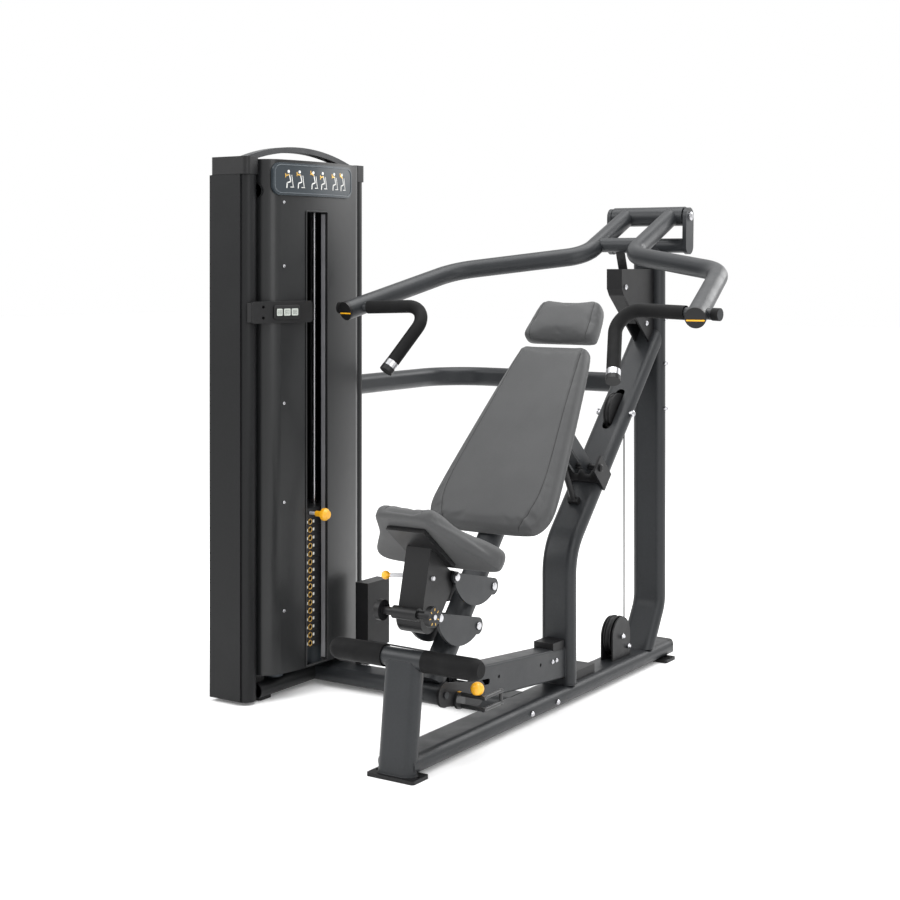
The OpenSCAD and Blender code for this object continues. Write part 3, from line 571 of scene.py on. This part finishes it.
def smooth_line(points, per=14):
    """Open Catmull-Rom curve through points."""
    p = [2 * points[0] - points[1], *points, 2 * points[-1] - points[-2]]
    out = []
    for i in range(1, len(p) - 2):
        for k in range(per):
            t = k / per
            out.append(0.5 * (2 * p[i] + (p[i + 1] - p[i - 1]) * t
                              + (2 * p[i - 1] - 5 * p[i] + 4 * p[i + 1] - p[i + 2]) * t * t
                              + (3 * p[i] - p[i - 1] - 3 * p[i + 1] + p[i + 2]) * t ** 3))
    return [*out, points[-1]]


def mirrored(points):
    """A left and a right copy of a half outline, closed."""
    return points + [(-x, y) for x, y in reversed(points)]


# Half outlines in mm, from the middle line outwards
BACK_Z0, BACK_L, HEAD_Z0 = 475, 683, 1174
back_half = [(150, BACK_Z0), (188, BACK_Z0 + 18), (213, BACK_Z0 + 66), (208, BACK_Z0 + 150), (172, BACK_Z0 + 400),
             (134, BACK_Z0 + BACK_L - 36), (116, BACK_Z0 + BACK_L), (60, BACK_Z0 + BACK_L)]
head_half = [(60, HEAD_Z0), (122, HEAD_Z0), (131, HEAD_Z0 + 22), (117, HEAD_Z0 + 132), (96, HEAD_Z0 + 158),
             (50, HEAD_Z0 + 158)]
seat_half = [(40, -243), (84, -243), (98, -218), (112, -180), (136, -118), (176, -64), (208, -20), (211, 12),
             (190, 36), (140, 44), (60, 44)]
PAD_T = 55 * MM
SEAT_T = 58 * MM


def seat_saddle(x, y):
    """The seat rises towards its wings behind the thighs and falls at the nose."""
    return 10 * MM * (abs(x) / 0.2) ** 2 - 8 * MM * max(0.0, (-y - 0.16) / 0.08) ** 2


pad("back_cushion", "back_pad", "back_frame", mirrored(back_half), PAD_T - 8 * MM, BACK_FRAME,
    [[(s * 118, BACK_Z0 + 4), (s * 150, BACK_Z0 + 70), (s * 158, BACK_Z0 + 180), (s * 128, BACK_Z0 + 440),
      (s * 104, BACK_Z0 + BACK_L - 12)] for s in (-1, 1)], lift=(COLUMN_FACE + 23.5) * MM)
pad("head_cushion", "head_pad", "back_frame", mirrored(head_half), PAD_T - 2 * MM, BACK_FRAME,
    [[(s * 98, HEAD_Z0 + 3), (s * 101, HEAD_Z0 + 40), (s * 88, HEAD_Z0 + 150)] for s in (-1, 1)],
    lift=(COLUMN_FACE + 26.5) * MM, belly=11 * MM)
pad("seat_cushion", "seat_pad", "seat_carrier", mirrored(seat_half), SEAT_T - 10 * MM, SEAT_FRAME,
    [[(s * 58, -238), (s * 66, -190), (s * 96, -110), (s * 150, -30), (s * 165, 34)] for s in (-1, 1)],
    lift=-4 * MM, belly=20 * MM, shape=seat_saddle)


# ---- Details ----
def part(bm, name, mat, body, matrix=None, smooth=False):
    obj = from_bmesh(bm, name, MAT[mat], matrix, smooth)
    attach(obj, body)


def shroud_frame(y, z, out):
    """At (y, z), out metres off the user-side shroud: local X along its face towards +Y, Y up, Z outwards."""
    centre = Vector(SHROUD_AXIS)
    a = math.asin((y - centre.y) / SHROUD_R)
    normal = Vector((math.cos(a), math.sin(a), 0))
    origin = Vector((centre.x, centre.y, z)) + normal * (SHROUD_R + out)
    return frame_at(origin, Vector((-math.sin(a), math.cos(a), 0)), normal)


def limb(bm, a, b, width=3.2 * MM):
    """One stroke of a figure icon, a small raised capsule in plan."""
    a, b = Vector(a) * MM, Vector(b) * MM
    d = (b - a).normalized() * width / 2
    n = Vector((-d.y, d.x))
    slab(bm, [a - n, b - n, b + d, b + n, a + n, a - d], 0, 0.5 * MM)


def icon(index, y, z):
    """A generic figure on a bench pushing a bar; the marked muscle is gold."""
    m = shroud_frame(y, z, PLACARD_FACE) @ Matrix.Diagonal((1.25, 1.25, 1, 1))
    lean = 0.35 + 0.12 * (index % 2)
    bm = bmesh.new()
    slab(bm, disc(4.0 * MM, 14, (-6 * MM * lean, 19 * MM)), 0, 0.5 * MM)
    limb(bm, (0, 12), (5, -6))
    limb(bm, (5, -6), (-7, -10))
    limb(bm, (-7, -10), (-8, -22))
    limb(bm, (8, 10), (13, -20), 2 * MM)
    limb(bm, (4, -20), (15, -20), 2 * MM)
    part(bm, f"icon_figure_{index}", "white", "frame", m)
    bm = bmesh.new()
    limb(bm, (0, 11), (-12, 8 + 5 * (index % 3)))
    limb(bm, (-12, 4 + 5 * (index % 3)), (-12, 13 + 5 * (index % 3)), 2.4 * MM)
    part(bm, f"icon_arm_{index}", "gold", "frame", m)


def placard_details():
    """Three pairs of figures inside a raised rim that follows the curved face."""
    mid = box_mid("placard")
    for k in range(6):
        pair, half = divmod(k, 2)
        icon(k, mid.y + ((pair - 1) * 106 + (half - 0.5) * 46) * MM, mid.z)
    outline = [shroud_frame(mid.y + y, mid.z + z, PLACARD_FACE).translation
               for y, z in rounded(368 * MM, 88 * MM, 24 * MM, 8)]
    route = [a.lerp(b, k / 6) for a, b in zip(outline, outline[1:] + outline[:1]) for k in range(6)]
    for p in route:
        p.x = SHROUD_AXIS[0] + math.sqrt((SHROUD_R + PLACARD_FACE) ** 2 - (p.y - SHROUD_AXIS[1]) ** 2)
    rim = bmesh.new()
    tube(rim, route, 2.0 * MM, 8, closed=True)
    part(rim, "placard_bezel", "rim", "frame", smooth=True)


def counter_details():
    """Rep counter: a bezel with three glass windows and dark segments."""
    low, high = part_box("counter_bracket")
    m = shroud_frame(high[1] - 108 * MM, (low[2] + high[2]) / 2, 11.2 * MM)
    bm = bmesh.new()
    slab(bm, rounded(104 * MM, 44 * MM, 9 * MM), 0, 3 * MM, 1.6 * MM)
    part(bm, "counter_bezel", "plastic", "frame", m, smooth=True)
    for k, (x_mm, w) in enumerate(((-30, 22), (0, 26), (31, 26))):
        x = x_mm * MM
        bm = bmesh.new()
        slab(bm, shifted(rounded(w * MM, 22 * MM, 3 * MM), x, 0), 2.9 * MM, 3.5 * MM)
        part(bm, f"counter_window_{k}", "lcd", "frame", m)
        bm = bmesh.new()
        for digit in range(2):
            cx = x + (digit - 0.5) * 9 * MM
            for dx, dz, sx, sz in ((0, 6, 5, 1), (0, 0, 5, 1), (0, -6, 5, 1), (-2.6, 3, 1, 5), (2.6, 3, 1, 5),
                                   (2.6, -3, 1, 5), (-2.6, -3, 1, 5)):
                if digit == 1 and k == 1 and dz == 0 and dx == 0:
                    continue
                slab(bm, shifted(rounded(sx * MM, sz * MM, 0.3 * MM, 1), cx + dx * MM, dz * MM),
                     3.4 * MM, 3.7 * MM)
        part(bm, f"counter_digits_{k}", "ink", "frame", m)


def stack_rings():
    """A gold ring round each plate's pin hole, with a white mark on either side."""
    low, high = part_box("weight_plates")
    pitch = (high[2] - low[2] + 0.5 * MM) / PLATE_COUNT
    gold, white = bmesh.new(), bmesh.new()
    for k in range(PLATE_COUNT):
        at = Vector((high[0] + 0.4 * MM, (low[1] + high[1]) / 2, low[2] + (k + 0.5) * pitch))
        m = frame_at(at, (0, 1, 0), (1, 0, 0))
        pts = [m @ Vector((*p, 0)) for p in disc(8.6 * MM, 20)]
        tube(gold, pts, 1.5 * MM, 6, closed=True)
        for s in (-1, 1):
            before = len(white.verts)
            slab(white, shifted(rounded(8 * MM, 9 * MM, 1.5 * MM, 2), s * 17 * MM, 0), 0, 0.5 * MM)
            white.verts.ensure_lookup_table()
            for v in white.verts[before:]:
                v.co = m @ v.co
    part(gold, "plate_hole_rings", "gold", "frame", smooth=True)
    part(white, "plate_marks", "white", "frame")


def number_discs():
    """Gold scale marks and a bolt head on the seat carrier's two discs."""
    for s, side in ((-1, "left"), (1, "right")):
        m = frame_at((MID_X + s * DISC_HALF, DISC_Y, DISC_Z), (0, 1, 0), (s, 0, 0))
        bm = bmesh.new()
        for k in range(7):
            a = math.radians(35 + 50 * k)
            c = Vector((math.cos(a), math.sin(a))) * 20 * MM
            n = Vector((-c.y, c.x)).normalized()
            u = c.normalized()
            w, h = 1.1 * MM, 3.6 * MM
            slab(bm, [c - n * w - u * h, c + n * w - u * h, c + n * w + u * h, c - n * w + u * h], 0, 0.7 * MM)
        part(bm, f"disc_scale_{side}", "gold", "seat_carrier", m)
        bm = bmesh.new()
        slab(bm, disc(8 * MM, 6), 0, 4 * MM, 1.2 * MM)
        part(bm, f"disc_bolt_{side}", "chrome", "seat_carrier", m)


def link_caps():
    """Domed chrome caps on the pins of the seat links."""
    for k, (y, z) in enumerate(((18, 354), (19, 226))):
        for end, body in ((0, "back_frame"), (1, "seat_carrier")):
            at = BACK_TURN @ Vector((0, (y - 185 * end) * MM, (z - 84 * end) * MM))
            for s, side in ((-1, "l"), (1, "r")):
                m = frame_at((at.x + s * 53.4 * MM, at.y, at.z), (0, 1, 0), (s, 0, 0))
                bm = bmesh.new()
                slab(bm, disc(11.5 * MM, 28), 0, 5.5 * MM, 3.5 * MM, 4)
                part(bm, f"link_cap_{k}{end}{side}", "chrome", body, m, smooth=True)


def end_stripes():
    """A yellow stripe across each arm's end cap."""
    for s, side in ((-1, "l"), (1, "r")):
        outer, end = Vector((s * 0.482, 0.235, 1.342)), Vector((s * 0.600, -0.205, 1.219))
        u = (end - outer).normalized()
        across = u.cross(Vector((0, 0, 1))).normalized()
        m = frame_at(Vector((MID_X, 0, 0)) + end + u * 9 * MM, across, u)
        bm = bmesh.new()
        slab(bm, shifted(rounded(52 * MM, 4.5 * MM, 2 * MM, 3), 0, 7 * MM), -0.5 * MM, 0.9 * MM)
        part(bm, f"end_stripe_{side}", "yellow", "arms", m)


def weld_bead(bm, centre, x_dir, z_dir, outline, ripple=5 * MM, r=2.2 * MM):
    """A rippled bead along an outline."""
    m = frame_at(centre, x_dir, z_dir)
    pts = [m @ Vector((*p, 0)) for p in outline]
    dense = []
    for i, p in enumerate(pts):
        q = pts[(i + 1) % len(pts)]
        n = max(1, int((q - p).length / ripple))
        dense += [p + (q - p) * k / n for k in range(n)]
    tube(bm, dense, r, 6, closed=True)


def oval_outline(w, t, grow=0.0, n=10):
    """Outline of a flat oval, w wide and t thick, grown all round."""
    out = []
    for s, a0 in ((1, -90), (-1, 90)):
        for k in range(n + 1):
            a = math.radians(a0 + 180 * k / n)
            out.append((s * (w - t) / 2 + (t / 2 + grow) * math.cos(a), (t / 2 + grow) * math.sin(a)))
    return out


def welds():
    """Beads where the back rail, the front post and the seat base tube meet their plates and tubes."""
    bm = bmesh.new()
    base_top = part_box("main_base_front")[1][2]
    rail_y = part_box("back_rail")[0][1]
    weld_bead(bm, (MID_X, rail_y + 25 * MM, base_top + 0.5 * MM), (1, 0, 0), (0, 0, 1),
              oval_outline(OVAL_W, OVAL_T, 1 * MM))
    weld_bead(bm, (MID_X, -0.781, 10.6 * MM), (1, 0, 0), (0, 0, 1), oval_outline(OVAL_W, OVAL_T + 1 * MM, 1 * MM))
    weld_bead(bm, (MID_X, rail_y - 0.5 * MM, 0.130), (1, 0, 0), (0, -1, 0), rounded(0.071, 0.097, 9 * MM))
    part(bm, "weld_beads", "frame", "frame", smooth=True)


def shroud_trim():
    """Small screws down the shroud's front edge, a raised lip round the selector slot, and a pale strip in the
    slot, a painted highlight where its inner face catches light.
    """
    front_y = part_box("user_shroud")[0][1]
    for k, z in enumerate((0.28, 0.62, 0.93, 1.36, 1.56)):
        bm = bmesh.new()
        slab(bm, disc(5 * MM, 20), 0, 2.2 * MM, 1.2 * MM)
        part(bm, f"shroud_screw_{k}", "chrome", "frame",
             shroud_frame(front_y + 62 * MM, z, 0.1 * MM), smooth=True)
    slot_y = box_mid("weight_plates").y
    m = shroud_frame(slot_y, 0, 0)
    outline = shifted(rounded(2 * SLOT_HALF + 4 * MM, 1.446, 6 * MM), 0, SLOT_MID_Z)
    bm = bmesh.new()
    tube(bm, [m @ Vector((*p, 0)) for p in outline], 2.4 * MM, 8, closed=True)
    part(bm, "slot_lip", "shroud", "frame", smooth=True)
    # Pale strip on the slot's rear flange: painted highlight for its lit inner face.
    bm = bmesh.new()
    slab(bm, rounded(16 * MM, 1.430, 1 * MM, 1), 0, 0.6 * MM)
    part(bm, "slot_reveal_highlight", "slot_highlight", "frame",
         frame_at((-0.5925, slot_y + SLOT_HALF - 0.1 * MM, SLOT_MID_Z), (1, 0, 0), (0, -1, 0)))


def knob_ridges():
    """Finger ridges round the selector knob."""
    mid = box_mid("selector_pin")
    bm = bmesh.new()
    for k in range(14):
        a = 2 * math.pi * k / 14
        at = Vector((0, math.cos(a), math.sin(a))) * 18.6 * MM
        start = Vector((pin_high[0] - 21 * MM, mid.y, mid.z)) + at
        tube(bm, [start + Vector((t * MM, 0, 0)) for t in (0, 3, 6, 9, 10.5)], 1.5 * MM, 8)
    part(bm, "knob_ridges", "yellow", "selector_pin", smooth=True)


for build in (placard_details, counter_details, stack_rings, number_discs, link_caps, end_stripes, welds,
              shroud_trim, knob_ridges):
    build()


# ---- Stage and light ----
def stage_floor():
    s = Shader("studio_floor")
    s.colour(s.ramp(s.noise(1.5, 2), [(0.3, (0.93, 0.93, 0.93)), (0.7, (0.95, 0.95, 0.95))]))
    s.set("Roughness", 0.75)
    s.set("Emission Color", (1, 1, 1, 1))
    s.set("Emission Strength", 0.10)
    bm = bmesh.new()
    half = 30
    ring = [bm.verts.new((x, y, 0)) for x, y in ((-half, -half), (half, -half), (half, half), (-half, half))]
    bm.faces.new(ring)
    from_bmesh(bm, "studio_floor", s.mat)


def area_light(name, location, target, size, power):
    light = bpy.data.lights.new(name, "AREA")
    light.shape = "RECTANGLE"
    light.size, light.size_y = size
    light.energy = power
    obj = bpy.data.objects.new(name, light)
    obj.location = location
    obj.rotation_euler = (Vector(target) - Vector(location)).to_track_quat("-Z", "Y").to_euler()
    bpy.context.scene.collection.objects.link(obj)


stage_floor()
area_light("key_light", (-2.6, -3.4, 3.6), (0, 0, 0.8), (2.6, 2.6), 90)
area_light("fill_light", (3.4, -2.2, 2.4), (0, 0, 0.8), (2.0, 3.0), 45)
area_light("top_light", (0.2, 0.2, 4.2), (0, 0, 0.5), (3.4, 3.4), 150)
area_light("rim_light", (1.6, 3.6, 2.8), (0, 0, 1.0), (2.4, 2.0), 60)
world = bpy.data.worlds.new("studio")
world.use_nodes = True
world.node_tree.nodes["Background"].inputs["Color"].default_value = (1, 1, 1, 1)
world.node_tree.nodes["Background"].inputs["Strength"].default_value = 1.0
bpy.context.scene.world = world
bpy.context.scene.view_settings.view_transform = "Standard"
